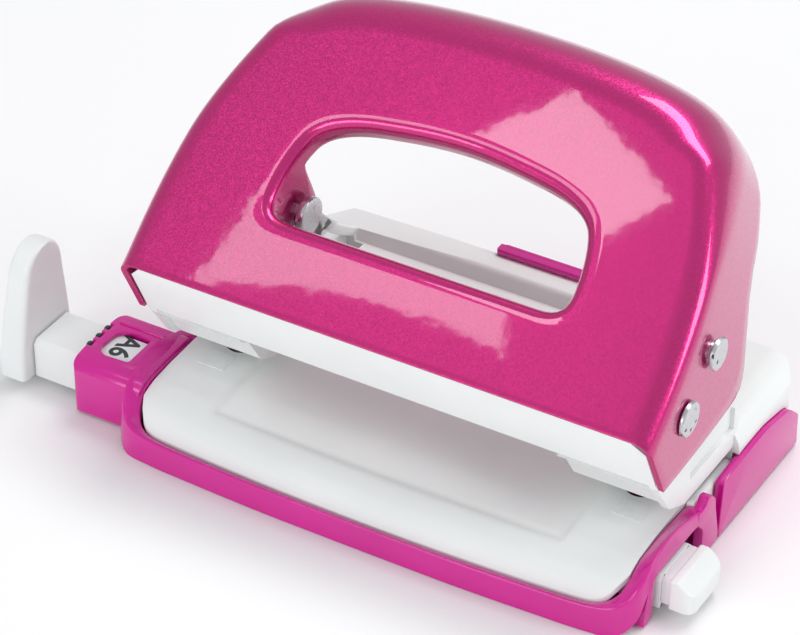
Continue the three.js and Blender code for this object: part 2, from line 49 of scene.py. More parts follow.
# ---------------------------------------------------------------- the handle's panel frame
# v runs up the panel from its lower edge, h is the depth behind it.
TILT = math.radians(40)
NOSE = Vector((0, -26.4, 37.6))
UP = Vector((0, math.cos(TILT), math.sin(TILT)))
OUT = Vector((0, -math.sin(TILT), math.cos(TILT)))
PIVOT = (-13.2, 35.1)
ACTUATOR = (-3.6, 42.1)
SIDES = ((-1, "left"), (1, "right"))


def on_panel(x, v, h):
    return NOSE + UP * v - OUT * h + Vector((x, 0, 0))


# ---------------------------------------------------------------- curves and meshes
def bezier(p0, p1, p2, p3, count):
    points = []
    for i in range(count):
        t = i / count
        a, b, c, d = (1 - t) ** 3, 3 * (1 - t) ** 2 * t, 3 * (1 - t) * t * t, t**3
        points.append(tuple(a * w + b * x + c * y + d * z for w, x, y, z in zip(p0, p1, p2, p3)))
    return points


def resample(points, count, closed=False):
    """count points at equal steps along a polyline."""
    line = [Vector(p) for p in points]
    if closed:
        line.append(line[0])
    lengths = [0.0]
    for a, b in zip(line, line[1:]):
        lengths.append(lengths[-1] + (b - a).length)
    steps = count if closed else count - 1
    result, k = [], 0
    for i in range(count):
        s = lengths[-1] * i / steps
        while k < len(line) - 2 and lengths[k + 1] < s:
            k += 1
        span = lengths[k + 1] - lengths[k]
        t = 0 if span == 0 else (s - lengths[k]) / span
        result.append(line[k].lerp(line[k + 1], min(max(t, 0), 1)))
    return result


def spline(stations, steps):
    """Catmull-Rom through the stations, each a list of numbers."""
    result = []
    last = len(stations) - 1
    for k in range(last):
        p0, p1 = stations[max(k - 1, 0)], stations[k]
        p2, p3 = stations[k + 1], stations[min(k + 2, last)]
        for i in range(steps):
            t = i / steps
            result.append([
                0.5 * (2 * b + (c - a) * t + (2 * a - 5 * b + 4 * c - d) * t * t
                       + (3 * b - a - 3 * c + d) * t**3)
                for a, b, c, d in zip(p0, p1, p2, p3)
            ])
    result.append(list(stations[-1]))
    return result


def smoothstep(low, high, x):
    t = min(max((x - low) / (high - low), 0), 1)
    return t * t * (3 - 2 * t)


def rounded(points, radius=0.0, steps=5):
    """A closed outline of [a, b] or [a, b, radius] points with its corners rounded."""
    result = []
    count = len(points)
    for i, p in enumerate(points):
        here = Vector(p[:2])
        before, after = Vector(points[i - 1][:2]), Vector(points[(i + 1) % count][:2])
        r = p[2] if len(p) > 2 else radius
        reach = min(r, 0.45 * (before - here).length, 0.45 * (after - here).length)
        if reach <= 0:
            result.append(here)
            continue
        start = here + (before - here).normalized() * reach
        end = here + (after - here).normalized() * reach
        for k in range(steps + 1):
            t = k / steps
            result.append(start * (1 - t) ** 2 + here * 2 * t * (1 - t) + end * t * t)
    return result


def new_object(name, bm, material, body, replaced=(), slot=None, smooth=40):
    """Turns a bmesh in millimetres into a finished piece."""
    bmesh.ops.remove_doubles(bm, verts=bm.verts, dist=0.004)
    bmesh.ops.recalc_face_normals(bm, faces=bm.faces)
    bmesh.ops.scale(bm, vec=(MM, MM, MM), verts=bm.verts)
    mesh = bpy.data.meshes.new(name)
    bm.to_mesh(mesh)
    bm.free()
    obj = bpy.data.objects.new(name, mesh)
    bpy.context.scene.collection.objects.link(obj)
    mesh.materials.append(material)
    shade(obj, smooth)
    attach(obj, body)
    if replaced:
        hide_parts(*replaced)
    return obj


def shade(obj, angle):
    mesh = obj.data
    mesh.polygons.foreach_set("use_smooth", [True] * len(mesh.polygons))
    mesh.set_sharp_from_angle(angle=math.radians(angle))


def apply_modifiers(obj):
    evaluated = obj.evaluated_get(bpy.context.evaluated_depsgraph_get())
    mesh = bpy.data.meshes.new_from_object(evaluated)
    old = obj.data
    obj.modifiers.clear()
    obj.data = mesh
    bpy.data.meshes.remove(old)


def bevel(obj, width, segments=3, angle=35, smooth=40):
    mod = obj.modifiers.new("bevel", "BEVEL")
    mod.width = width * MM
    mod.segments = segments
    mod.limit_method = "ANGLE"
    mod.angle_limit = math.radians(angle)
    mod.use_clamp_overlap = True
    mod.harden_normals = False
    apply_modifiers(obj)
    shade(obj, smooth)
    return obj


def grid_faces(bm, rows, closed=False):
    for a, b in zip(rows, rows[1:]):
        count = len(a)
        for i in range(count if closed else count - 1):
            j = (i + 1) % count
            corners = [a[i], a[j], b[j], b[i]]
            if len(set(corners)) == 4:
                bm.faces.new(corners)


def loft(name, rings, material, body, capped=True, **options):
    """Rings of points with equal counts, joined into one skin."""
    bm = bmesh.new()
    rows = [[bm.verts.new(p) for p in ring] for ring in rings]
    grid_faces(bm, rows, closed=True)
    if capped:
        bm.faces.new(list(reversed(rows[0])))
        bm.faces.new(rows[-1])
    return new_object(name, bm, material, body, **options)


def prism_mesh(bm, points, axis, low, high):
    """An outline extruded along an axis, added to a bmesh."""
    place = {
        "x": lambda a, b, c: (c, a, b),
        "y": lambda a, b, c: (a, c, b),
        "z": lambda a, b, c: (a, b, c),
    }[axis]
    rows = [[bm.verts.new(place(p[0], p[1], c)) for p in points] for c in (low, high)]
    grid_faces(bm, rows, closed=True)
    bm.faces.new(list(reversed(rows[0])))
    bm.faces.new(rows[1])


def prism(name, points, axis, low, high, material, body, **options):
    bm = bmesh.new()
    prism_mesh(bm, points, axis, low, high)
    return new_object(name, bm, material, body, **options)


def carve(obj, *tools):
    """Cuts the tools out of obj and removes them."""
    for tool in tools:
        mod = obj.modifiers.new("cut", "BOOLEAN")
        mod.operation = "DIFFERENCE"
        mod.solver = "EXACT"
        mod.object = tool
    apply_modifiers(obj)
    for tool in tools:
        bpy.data.objects.remove(tool)
    return obj


def tool_box(x0, x1, y0, y1, z0, z1):
    bm = bmesh.new()
    prism_mesh(bm, [(x0, y0), (x1, y0), (x1, y1), (x0, y1)], "z", z0, z1)
    return tool_from(bm)


def tool_prism(points, axis, low, high):
    bm = bmesh.new()
    prism_mesh(bm, points, axis, low, high)
    return tool_from(bm)


def tool_from(bm):
    bmesh.ops.recalc_face_normals(bm, faces=bm.faces)
    bmesh.ops.scale(bm, vec=(MM, MM, MM), verts=bm.verts)
    mesh = bpy.data.meshes.new("tool")
    bm.to_mesh(mesh)
    bm.free()
    obj = bpy.data.objects.new("tool", mesh)
    bpy.context.scene.collection.objects.link(obj)
    return obj


def refined(node, name, material, body, width, segments=3, slot=None):
    """A CAD node's shape with its edges rounded."""
    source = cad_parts[node].data
    bm = bmesh.new()
    bm.from_mesh(source)
    bmesh.ops.remove_doubles(bm, verts=bm.verts, dist=2e-6)
    bmesh.ops.dissolve_limit(
        bm, angle_limit=math.radians(1.0), verts=bm.verts, edges=bm.edges, delimit={"NORMAL"}
    )
    bmesh.ops.scale(bm, vec=(1000, 1000, 1000), verts=bm.verts)
    obj = new_object(name, bm, material, body, replaced=(node,), slot=slot)
    return bevel(obj, width, segments, angle=28)


# ---------------------------------------------------------------- materials
class Nodes:
    """Short calls for building a node tree."""

    def __init__(self, name):
        self.material = bpy.data.materials.new(name)
        self.material.use_nodes = True
        self.tree = self.material.node_tree
        self.shader = self.tree.nodes["Principled BSDF"]

    def add(self, kind, inputs=None, **settings):
        node = self.tree.nodes.new(kind)
        for key, value in settings.items():
            setattr(node, key, value)
        for key, value in (inputs or {}).items():
            if isinstance(value, bpy.types.NodeSocket):
                self.tree.links.new(value, node.inputs[key])
            else:
                node.inputs[key].default_value = value
        return node

    def set(self, **values):
        for key, value in values.items():
            socket = self.shader.inputs[key.replace("_", " ")]
            if isinstance(value, bpy.types.NodeSocket):
                self.tree.links.new(value, socket)
            else:
                socket.default_value = value

    def coordinates(self):
        return self.add("ShaderNodeTexCoord").outputs["Object"]

    def noise(self, scale, detail=3.0, roughness=0.5):
        inputs = {"Vector": self.coordinates(), "Scale": scale, "Detail": detail, "Roughness": roughness}
        return self.add("ShaderNodeTexNoise", inputs).outputs["Fac"]

    def calc(self, operation, *values):
        return self.add("ShaderNodeMath", dict(enumerate(values)), operation=operation).outputs[0]

    def vector(self, operation, *values):
        return self.add("ShaderNodeVectorMath", dict(enumerate(values)), operation=operation).outputs[0]

    def spread(self, value, low, high):
        inputs = {"Value": value, "From Min": 0.3, "From Max": 0.7, "To Min": low, "To Max": high}
        return self.add("ShaderNodeMapRange", inputs).outputs["Result"]

    def mix(self, factor, a, b):
        node = self.add("ShaderNodeMix", data_type="RGBA")
        for socket, value in ((node.inputs[0], factor), (node.inputs[6], a), (node.inputs[7], b)):
            if isinstance(value, bpy.types.NodeSocket):
                self.tree.links.new(value, socket)
            else:
                socket.default_value = value
        return node.outputs[2]

    def bump(self, height, strength, distance):
        inputs = {"Height": height, "Strength": strength, "Distance": distance}
        return self.add("ShaderNodeBump", inputs).outputs["Normal"]


def linear(r, g, b):
    """An sRGB colour, 0 to 255, as a linear RGBA one."""
    values = (c / 255 for c in (r, g, b))
    return tuple(c / 12.92 if c <= 0.04045 else ((c + 0.055) / 1.055) ** 2.4 for c in values) + (1,)


def plastic(name, colour, shadow, roughness, grain_scale, grain, coat=0.0):
    """Moulded plastic: faint tone drift, uneven gloss and a fine grain."""
    n = Nodes(name)
    tone = n.spread(n.noise(60, 3), 0, 1)
    n.set(Base_Color=n.mix(tone, colour, shadow))
    n.set(Roughness=n.spread(n.noise(140, 4), roughness - 0.05, roughness + 0.05))
    fine = n.noise(grain_scale, 2)
    broad = n.noise(45, 2)
    height = n.calc("ADD", n.calc("MULTIPLY", fine, 0.12), broad)
    n.set(Normal=n.bump(height, grain, 0.0004))
    if coat:
        n.set(Coat_Weight=coat, Coat_Roughness=0.06)
    n.set(IOR=1.5)
    return n.material


FLAKE_TILT = 0.10


def flake_paint(name, deep, bright, edge):
    """Metallic paint: tinted flakes, each tilted its own way, under a clear coat."""
    n = Nodes(name)
    cells = n.add("ShaderNodeTexVoronoi", {"Vector": n.coordinates(), "Scale": 5200.0})
    lean = n.vector("SUBTRACT", cells.outputs["Color"], (0.5, 0.5, 0.5))
    tilt = n.add("ShaderNodeVectorMath", {0: lean, "Scale": FLAKE_TILT}, operation="SCALE").outputs[0]
    normal = n.add("ShaderNodeNewGeometry").outputs["Normal"]
    flake_normal = n.vector("NORMALIZE", n.vector("ADD", normal, tilt))
    grey = n.add("ShaderNodeSeparateColor", {"Color": cells.outputs["Color"]}).outputs[0]
    fleck = n.mix(grey, deep, bright)
    wear = n.spread(n.noise(35, 3), 0.0, 0.25)
    n.set(Base_Color=n.mix(wear, fleck, edge))
    n.set(Metallic=0.72, Roughness=0.3, Normal=flake_normal)
    n.set(Coat_Weight=1.0, Coat_Roughness=0.03, Coat_IOR=1.5)
    n.set(Coat_Normal=n.bump(n.noise(300, 1), 0.03, 0.0002))
    return n.material


def steel(name, colour, roughness, streak):
    """Worn steel: fine scratches, mottled gloss."""
    n = Nodes(name)
    mottle = n.noise(900, 4)
    n.set(Base_Color=n.mix(n.spread(mottle, 0, 1), colour, tuple(c * 0.72 for c in colour[:3]) + (1,)))
    n.set(Metallic=1.0, Roughness=n.spread(n.noise(700, 3), roughness - 0.08, roughness + 0.12))
    mapping = n.add("ShaderNodeMapping", {"Vector": n.coordinates(), "Scale": (300, 300, 6000)})
    stretched = {"Vector": mapping.outputs[0], "Scale": 1.0, "Detail": 2.0}
    scratch = n.add("ShaderNodeTexNoise", stretched).outputs["Fac"]
    n.set(Normal=n.bump(scratch, streak, 0.0002))
    return n.material


def nicked_steel(name):
    """Rivet head: bright, with dark stamped nicks."""
    n = Nodes(name)
    spots = n.add("ShaderNodeTexVoronoi", {"Vector": n.coordinates(), "Scale": 620.0, "Randomness": 1.0})
    noise = n.noise(1500, 2)
    distance = n.calc("ADD", spots.outputs["Distance"], noise)
    band = {"Value": distance, "From Min": 0.56, "From Max": 0.72, "To Min": 1.0, "To Max": 0.0}
    dark = n.add("ShaderNodeMapRange", band).outputs["Result"]
    across = n.add("ShaderNodeSeparateXYZ", {"Vector": n.coordinates()}).outputs["X"]
    outer_end = n.calc("GREATER_THAN", n.calc("ABSOLUTE", across), 0.045)
    mask = n.calc("MULTIPLY", dark, outer_end)
    n.set(Base_Color=n.mix(mask, (0.62, 0.63, 0.64, 1), (0.05, 0.06, 0.06, 1)))
    n.set(Metallic=0.9, Roughness=n.spread(n.noise(1200, 3), 0.22, 0.42))
    n.set(Normal=n.bump(n.calc("MULTIPLY", mask, -1.0), 0.5, 0.0003))
    return n.material


PAINT = flake_paint("metallic_paint", linear(192, 8, 108), linear(208, 22, 126), linear(182, 4, 98))
MAGENTA = plastic("magenta_plastic", linear(212, 12, 148), linear(204, 9, 140), 0.22, 2600, 0.05, coat=0.4)
WHITE = plastic("white_plastic", linear(240, 243, 241), linear(235, 239, 237), 0.42, 2400, 0.10)
GUIDE_WHITE = plastic("guide_plastic", linear(236, 239, 238), linear(230, 234, 233), 0.38, 2400, 0.10)
LABEL = plastic("format_label", linear(238, 240, 240), linear(232, 235, 235), 0.4, 3000, 0.05)
MARK = plastic("mark_plastic", linear(238, 241, 240), linear(232, 236, 235), 0.3, 2400, 0.04)
PRINT = plastic("print_ink", linear(48, 58, 58), linear(40, 50, 50), 0.5, 3000, 0.05)
# dark colour for the dots that paint the shade inside the window box's grip notches
NOTCH_SHADE = plastic("painted_notch_shade", linear(38, 62, 50), linear(30, 50, 42), 0.4, 1500, 0.1)
RUBBER = plastic("foot_rubber", linear(46, 50, 48), linear(38, 42, 40), 0.7, 1500, 0.3)
RIVET = nicked_steel("rivet_steel")
STEEL = steel("punch_steel", (0.58, 0.59, 0.6, 1), 0.3, 0.15)
CUT_EDGE = plastic("painted_cut_edge", linear(186, 4, 104), linear(168, 3, 92), 0.42, 1100, 0.12)
WIRE = steel("spring_wire", (0.5, 0.5, 0.52, 1), 0.28, 0.1)
SCREW = steel("screw_steel", (0.6, 0.6, 0.62, 1), 0.3, 0.1)

# ---------------------------------------------------------------- handle
HALF = 51.2                            # half the width
SHEET = 1.1                            # thickness
TOP = 63.6                             # the panel's top, up the panel
LIP = 1.8                              # radius of the lip round the hand opening
OPENING_LOW, OPENING_HIGH = 14.1, 38.9
OPENING_MIDDLE = 26
NOSE_DEPTH, NOSE_DROP = 14.1, 3.6      # the flange's front corner, behind and below the panel's edge
CROWN_EXTRA = 5.50                     # how much deeper the roll is over the top


def arch():
    """Right half of the panel's outline as (x, v), from the lower edge to the top's middle."""
    side = [(HALF, 2.0 * i) for i in range(3)]
    shoulder, crest = (HALF - 6.2, TOP - 15.8), (HALF - 19.4, TOP - 3.1)
    side += bezier((HALF, 6), (HALF, 18), (HALF - 1.0, 33), shoulder, 22)
    side += bezier(shoulder, (HALF - 8.0, TOP - 9.9), (HALF - 12.2, TOP - 5.2), crest, 14)
    side += bezier(crest, (HALF - 27, TOP - 0.9), (12, TOP), (0, TOP), 16)
    side.append((0, TOP))
    return side


def opening_half():
    """Right half of the hand opening's lip as (x, v), from the bottom's middle to the top's middle."""
    line = [(0, OPENING_LOW), (12, OPENING_LOW)]
    line += bezier((24, OPENING_LOW), (27.9, OPENING_LOW), (30.0, 15.9), (30.2, 19.4), 10)
    line += bezier((30.2, 19.4), (30.3, 23.5), (29.4, 29.2), (27.6, 32), 12)
    line += bezier((27.6, 32), (25.4, 35.3), (20.2, 37.0), (13.2, 37.8), 10)
    line += bezier((13.2, 37.8), (8.5, 38.5), (4, OPENING_HIGH), (0, OPENING_HIGH), 6)
    line.append((0, OPENING_HIGH))
    return line


def flange_depth(v):
    """How far the side flange reaches behind the panel at height v."""
    table = [(-NOSE_DROP, NOSE_DEPTH), (16.0, 28.7), (18.4, 30.2), (20.4, 30.7), (22.6, 29.8), (27.6, 26.1),
             (33, 23.0), (37.5, 22.0), (42.6, 22.5), (50, 22.0), (58, 19.0), (66, 16.2)]
    for (v0, h0), (v1, h1) in zip(table, table[1:]):
        if v <= v1:
            return h0 + (h1 - h0) * max(v - v0, 0) / (v1 - v0)
    return table[-1][1]


def panel_bulge(x, v):
    """The panel's slight crown."""
    return 0.5 * (1 - (x / 50) ** 2) * math.sin(math.pi * min(max(v, 0), TOP) / TOP)


def make_handle():
    """One skin from the opening's collar over the lip, the panel and the rolled edge to the flange's rim."""
    half_arc = resample(arch(), 61)
    outer = [(p.x, p.y) for p in half_arc] + [(-p.x, p.y) for p in reversed(half_arc[:-1])]
    nose_count = 27
    nose = [(-HALF + 2 * HALF * i / (nose_count + 1), 0.0) for i in range(1, nose_count + 1)]
    ring = outer + nose                                  # counter-clockwise from the lower right corner
    total = len(ring)

    half_hole = resample(opening_half(), 200)
    hole_line = [(p.x, p.y) for p in half_hole] + [(-p.x, p.y) for p in reversed(half_hole[1:-1])]

    def facing(x, v):
        """The opening's point in the direction of (x, v), with both flattened into rounder shapes."""
        heading = math.atan2((v - OPENING_MIDDLE) * 1.25, x)
        return min(hole_line, key=lambda q: abs(math.remainder(
            math.atan2((q[1] - OPENING_MIDDLE) * 1.9, q[0]) - heading, 2 * math.pi)))

    targets = [facing(x, v) for x, v in ring]
    # even them out along the opening so that no two columns share a point
    fractions = []
    cumulative = [0.0]
    for a, b in zip(hole_line, hole_line[1:] + hole_line[:1]):
        cumulative.append(cumulative[-1] + math.dist(a, b))
    girth = cumulative[-1]
    for q in targets:
        fractions.append(cumulative[hole_line.index(q)] / girth)
    base = fractions[0]
    unrolled = [(f - base) % 1.0 for f in fractions]
    for i in range(1, total):
        unrolled[i] = max(unrolled[i], unrolled[i - 1] + 0.0005)
    for _ in range(30):
        unrolled = [unrolled[0]] + [
            0.5 * unrolled[i] + 0.25 * (unrolled[i - 1] + unrolled[i + 1]) for i in range(1, total - 1)
        ] + [0.5 * unrolled[-1] + 0.25 * (unrolled[-2] + 1.0 + unrolled[0])]

    def on_hole(fraction):
        s = ((fraction + base) % 1.0) * girth
        low, high = 0, len(hole_line)
        while high - low > 1:
            mid = (low + high) // 2
            if cumulative[mid] <= s:
                low = mid
            else:
                high = mid
        a, b = hole_line[low % len(hole_line)], hole_line[(low + 1) % len(hole_line)]
        span = cumulative[low + 1] - cumulative[low]
        t = (s - cumulative[low]) / span if span else 0
        return Vector((a[0] + (b[0] - a[0]) * t, a[1] + (b[1] - a[1]) * t))

    hole = [on_hole(f) for f in unrolled]
    inward = []
    for i in range(total):
        d = hole[(i + 1) % total] - hole[i - 1]
        inward.append(Vector((-d.y, d.x)).normalized())

    arch_count = len(outer)
    normals = []
    for i in range(arch_count):
        if i == 0 or i == arch_count - 1:
            normals.append(Vector((1 if i == 0 else -1, 0)))
            continue
        d = Vector(ring[i + 1]) - Vector(ring[i - 1])
        normals.append(Vector((d.y, -d.x)).normalized())

    def roll(i):
        """Radius of the rolled edge: tight at the sides, soft over the top."""
        return 3.6 + 5.6 * smoothstep(0.15, 0.8, normals[i].y)

    def crown(i):
        """Depth of the roll: it deepens into a soft crown toward the top."""
        return roll(i) + CROWN_EXTRA * smoothstep(26, 50, ring[i][1])

    bm = bmesh.new()

    def vertex(x, v, h):
        return bm.verts.new(on_panel(x, v, h))

    # collar, lip and panel, ring by ring
    rows = []

    def collar_depth(i):
        q = hole[i] + inward[i] * LIP
        x, v = abs(q.x), q.y
        y0, z0 = NOSE.y + UP.y * v, NOSE.z + UP.z * v
        to_rear = (1.5 - y0) / -OUT.y
        to_low = (z0 - 33.4) / OUT.z
        deep = max(min(to_rear, to_low), 4.3)
        return 4.3 + (deep - 4.3) * smoothstep(27.5, 28.15, x)

    for part in (1.0, 0.66, 0.33):
        row = []
        for i in range(total):
            q = hole[i] + inward[i] * LIP
            row.append(vertex(q.x, q.y, LIP + (collar_depth(i) - LIP) * part))
        rows.append(row)
    for k in range(7):
        angle = math.pi / 2 * k / 6
        row = []
        for i in range(total):
            q = hole[i] + inward[i] * LIP * math.cos(angle)
            # from the collar's wall, LIP inside the opening's line, out to the panel
            h = LIP * (1 - math.sin(angle)) - panel_bulge(hole[i].x, hole[i].y) * math.sin(angle)
            row.append(vertex(q.x, q.y, h))
        rows.append(row)
    panel_steps = 12
    for k in range(1, panel_steps + 1):
        t = k / panel_steps
        row = []
        for i in range(total):
            if i < arch_count:
                edge = Vector(ring[i]) - normals[i] * roll(i)
                if i in (0, arch_count - 1):
                    edge.y = 0
            else:
                edge = Vector(ring[i])
                limit = HALF - roll(0)
                edge.x = edge.x * (limit / HALF)
            p = hole[i].lerp(edge, t)
            row.append(vertex(p.x, p.y, -panel_bulge(p.x, p.y)))
        rows.append(row)
    grid_faces(bm, rows, closed=True)

    # rolled edge and flange, along the arch only
    shear = NOSE_DROP / NOSE_DEPTH

    def cutback(v):
        return max(0.0, 1 - v / 19.0)

    skirt = [rows[-1][:arch_count]]
    for k in range(1, 10):
        angle = math.pi / 2 * k / 9
        row = []
        for i in range(arch_count):
            r = roll(i)
            centre = Vector(ring[i]) - normals[i] * r
            p = centre + normals[i] * r * math.sin(angle)
            h = crown(i) * (1 - math.cos(angle))
            row.append(vertex(p.x, p.y - shear * cutback(ring[i][1]) * h, h))
        skirt.append(row)
    depths = []
    for i in range(arch_count):
        v = ring[i][1]
        h = flange_depth(v)
        for _ in range(12):
            h = 0.5 * h + 0.5 * flange_depth(v - shear * cutback(v) * h)
        depths.append(h)
    flange_steps = 8
    for k in range(1, flange_steps + 1):
        t = k / flange_steps
        row = []
        for i in range(arch_count):
            h = crown(i) + (depths[i] - crown(i)) * t
            x, v = ring[i]
            row.append(vertex(x, v - shear * cutback(v) * h, h))
        skirt.append(row)
    grid_faces(bm, skirt)
    obj = new_object("handle_skin", bm, PAINT, "handle", replaced=("handle_shell",),
                     slot="metallic_paint", smooth=50)

    solid = obj.modifiers.new("sheet", "SOLIDIFY")
    solid.thickness = SHEET * MM
    solid.offset = -1
    solid.use_even_offset = True
    obj.data.materials.append(CUT_EDGE)
    solid.material_offset_rim = 1
    apply_modifiers(obj)
    edges = obj.modifiers.new("rim", "BEVEL")
    edges.width = 0.22 * MM
    edges.segments = 2
    edges.limit_method = "ANGLE"
    edges.angle_limit = math.radians(55)
    apply_modifiers(obj)
    shade(obj, 50)
    return obj


make_handle()


# ---------------------------------------------------------------- pins
def spun(name, profile, centre, axis_sign, material, body, replaced, slot, count=48):
    """A turned piece: (distance along X, radius) points spun round the X axis through centre (y, z)."""
    turn = [2 * math.pi * k / count for k in range(count)]
    rings = [
        [(axis_sign * x, centre[0] + r * math.cos(a), centre[1] + r * math.sin(a)) for a in turn]
        for x, r in profile
    ]
    return loft(name, rings, material, body, replaced=replaced, slot=slot, smooth=35)


for sign, side in SIDES:
    spun(f"pivot_rivet_{side}", [
        (32.3, 2.6), (32.5, 3.0), (33.1, 3.0), (33.3, 2.8), (33.35, 2.2), (51.2, 2.2), (51.25, 2.86),
        (51.45, 3.14), (51.8, 3.14), (52.1, 2.97), (52.25, 2.6), (52.3, 1.8), (52.22, 1.0), (52.2, 0.3),
    ], PIVOT, sign, RIVET, "handle", (f"pivot_pin_{side}",), "rivet_steel")
    spun(f"actuator_rivet_{side}", [
        (25.74, 0.3), (25.72, 3.05), (25.82, 3.35), (26.02, 3.49), (27.0, 3.49), (27.2, 3.35), (27.25, 3.0),
        (27.27, 2.0), (51.2, 2.0), (51.25, 2.62), (51.45, 2.9),
        (51.8, 2.9), (52.1, 2.75), (52.25, 2.4), (52.3, 1.7), (52.22, 1.0), (52.2, 0.3),
    ], ACTUATOR, sign, RIVET, "handle", (f"actuator_pin_{side}",), "rivet_steel")


# ---------------------------------------------------------------- white housing
def make_housing():
    """Strip under the handle's nose, lips and ceilings of the paper slot, side walls and rear block."""
    obj = refined("upper_housing", "housing_shell", WHITE, "base", 0.35, 3, "white_plastic")
    # room inside for the ribs below
    carve(obj, *[tool_box(*sorted((sign * 33.4, sign * 36.9)), 10.5, 25.5, 13, 24) for sign, _ in SIDES])
    for sign, side in SIDES:
        arm = prism(f"housing_arm_{side}", rounded([
            (9.8, 14.0), (9.8, 31.5, 0.6), (12.6, 31.2, 1.5), (15.9, 27.9, 4), (19.0, 24.2, 5),
            (23.4, 21.0, 5), (29.0, 17.4, 1.2), (28.6, 16.1, 0.6), (22.8, 19.2, 5), (17.6, 22.9, 5),
            (14.4, 25.8, 3), (13.2, 14.0),
        ], 0.4, 6), "x", *sorted((sign * 35.3, sign * 36.7)), WHITE, "base", slot="white_plastic")
        bevel(arm, 0.2, 2)
    return obj


make_housing()


# ---------------------------------------------------------------- paper table
def table_height(x, y):
    """Top of the paper table: a soft roll at the front and a shallow recess in the middle."""
    profile = [(-31.0, 4.8), (-30.0, 6.0), (-29, 7.1), (-27.6, 8.2), (-26, 9.0), (-24, 9.7), (-22, 10.2),
               (-16, 10.75), (-8, 11.05), (40, 11.05)]
    bow = 1.75 * (min(abs(x), 46) / 46) ** 2
    y = y - bow * smoothstep(-14, -30, y)
    z = profile[0][1]
    for (y0, z0), (y1, z1) in zip(profile, profile[1:]):
        if y <= y1:
            z = z0 + (z1 - z0) * max(y - y0, 0) / (y1 - y0)
            break
    side = smoothstep(35.2, 33.6, abs(x))
    front = smoothstep(-24.6, -22.6, y)
    return z - 0.55 * side * front


DIE_X, DIE_Y = 40, -5.2
DIE_HOLE, TABLE_HOLE = 2.85, 2.9       # radii; the punch's is 2.75
SLAB = 1.2                             # thin, since the guide's end cap passes underneath


def disc_tool(x, y, radius, low, high):
    turn = [2 * math.pi * i / 48 for i in range(48)]
    return tool_prism([(x + radius * math.cos(a), y + radius * math.sin(a)) for a in turn], "z", low, high)


def make_dies():
    """Steel dies let into the table from below, open under the punches."""
    for sign, side in SIDES:
        x = sign * DIE_X
        outline = rounded([(x - 6.5, -8.9), (x + 6.5, -8.9), (x + 6.5, -1.5), (x - 6.5, -1.5)], 0.5)
        die = prism(f"die_insert_{side}", outline, "z", 8.95, 10.12, STEEL, "base",
                    replaced=(f"die_plate_{side}",), slot="punch_steel")
        carve(die, disc_tool(x, DIE_Y, DIE_HOLE, 8, 12))
        bevel(die, 0.12, 2)


def make_table():
    bm = bmesh.new()
    recess_edges = (33.9, 34.4, 34.9, 47.8)
    xs = sorted([float(x) for x in range(-48, 49)] + [sign * x for sign, _ in SIDES for x in recess_edges])
    vs = [i / 60 for i in range(61)]

    def front_y(x):
        corner = max(abs(x) - 40.5, 0)
        bow = 1.75 * (min(abs(x), 44) / 44) ** 2
        return -30.95 + bow + 4.6 * (corner / 7.5) ** 4

    def sheet(drop):
        rows = []
        for v in vs:
            row = []
            for x in xs:
                y = front_y(x) + (9.2 - front_y(x)) * v**1.5
                row.append(bm.verts.new((x, y, table_height(x, y) - drop)))
            rows.append(row)
        grid_faces(bm, rows)
        return rows[0] + [r[-1] for r in rows[1:]] + rows[-1][-2::-1] + [r[0] for r in rows[-2:0:-1]]

    grid_faces(bm, [sheet(0), sheet(SLAB)], closed=True)
    obj = new_object("table_skin", bm, WHITE, "base", replaced=("paper_table",),
                     slot="white_plastic", smooth=55)
    for x in (-DIE_X, DIE_X):
        seat = tool_box(x - 6.65, x + 6.65, -9.05, -1.35, 8, 10.17)
        carve(obj, seat, disc_tool(x, DIE_Y, TABLE_HOLE, 8, 14))
    shade(obj, 55)
    return obj


make_table()
make_dies()


def make_table_rails():
    """Rounded side rails behind the straps, the screw rails underneath, and a mark before each punch."""
    for sign, side in SIDES:
        rail = prism(f"table_rail_{side}", rounded([
            (sign * 48.1, 5.5), (sign * 49.8, 5.5), (sign * 49.8, 10.9), (sign * 48.1, 11.0),
        ], 0.8), "y", -4.9, 9.2, WHITE, "base", slot="white_plastic")
        bevel(rail, 0.3, 2)
        under = prism(f"table_runner_{side}", rounded([
            (-0.9, 2), (30.2, 2), (30.2, 5.8), (9.2, 5.8), (9.2, 9.2), (-0.9, 9.2),
        ], 0.5), "x", sign * 43.4 - 3, sign * 43.4 + 3, WHITE, "base", slot="white_plastic")
        bevel(under, 0.2, 2)
        bm = bmesh.new()
        x0, x1 = sorted((sign * 38.6, sign * 44.2))
        rows = [[bm.verts.new((x, y, table_height(x, y) + 0.10)) for x in (x0, x1)] for y in (-13.65, -9.2)]
        grid_faces(bm, rows)
        mark = new_object(f"punch_mark_{side}", bm, MARK, "base", slot="white_plastic")
        mod = mark.modifiers.new("thick", "SOLIDIFY")
        mod.thickness = 0.12 * MM
        apply_modifiers(mark)
        shade(mark, 30)


make_table_rails()


